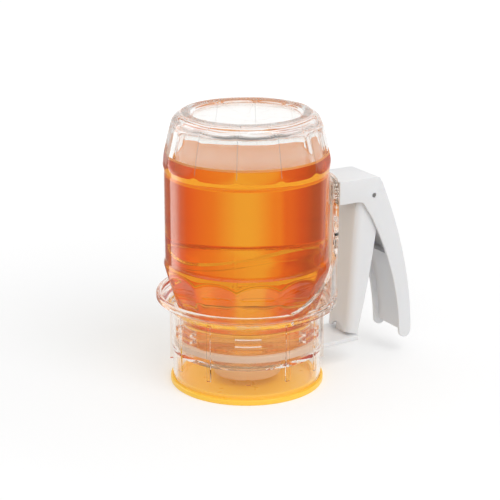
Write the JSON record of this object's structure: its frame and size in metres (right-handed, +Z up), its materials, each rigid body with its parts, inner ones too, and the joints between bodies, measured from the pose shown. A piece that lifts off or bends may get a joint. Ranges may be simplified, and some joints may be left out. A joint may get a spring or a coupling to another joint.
{
  "type": "honey dispenser",
  "caption": "Honey dispenser: upturned faceted jar in a clear cup, with a squeeze handle that draws a slide gate, standing in a round drip tray.",
  "frame": {"origin": "centre of the drip tray's underside, on the jar's axis", "axes": "+Z up along the jar's axis, +X from the jar towards the handle"},
  "size_m": [0.1613, 0.1062, 0.1619],
  "materials": {
    "yellow_plastic": "glossy moulded polypropylene, warm yellow",
    "clear_plastic": "clear moulded styrene acrylonitrile, faintly warm",
    "silicone": "white silicone, matt",
    "white_plastic": "white moulded polypropylene, satin",
    "steel": "stainless steel, drawn",
    "jar_glass": "clear pressed soda-lime glass",
    "honey": "clear amber honey"
  },
  "bodies": {
    "drip_tray": {"drip_tray": "yellow_plastic"},
    "dispenser": {"clear_cup": "clear_plastic", "jar_seal": "silicone", "outlet_seal": "silicone", "valve_body": "white_plastic", "handle_cover": "white_plastic", "handle_screws": "steel", "pivot_pin": "steel", "return_spring": "steel"},
    "trigger": {"trigger": "white_plastic", "link_pin": "steel"},
    "slide_gate": {"slide_gate": "white_plastic"},
    "honey_jar": {"honey_jar": "jar_glass", "honey": "honey"}
  },
  "joints": [
    {"name": "dispenser_lift", "type": "slide", "parent": "drip_tray", "child": "dispenser", "axis": [0, 0, 1], "range_m": [0, 0.03]},
    {"name": "trigger_pivot", "type": "hinge", "parent": "dispenser", "child": "trigger", "pos_m": [0.0788, 0, 0.1045], "axis": [0, -1, 0], "range_deg": [0, 16], "stiffness_Nm_per_rad": 0.4, "springref_deg": -20.05, "deforming": ["return_spring"]},
    {"name": "gate_slide", "type": "slide", "parent": "dispenser", "child": "slide_gate", "axis": [1, 0, 0], "range_m": [0, 0.0235]},
    {"name": "jar_twist", "type": "hinge", "parent": "dispenser", "child": "honey_jar", "pos_m": [0, 0, 0.1], "axis": [0, 0, 1], "range_deg": [0, 30]}
  ],
  "couplings": [
    {"joint": "gate_slide", "follows": "trigger_pivot", "m_per_rad": 0.0833}
  ]
}
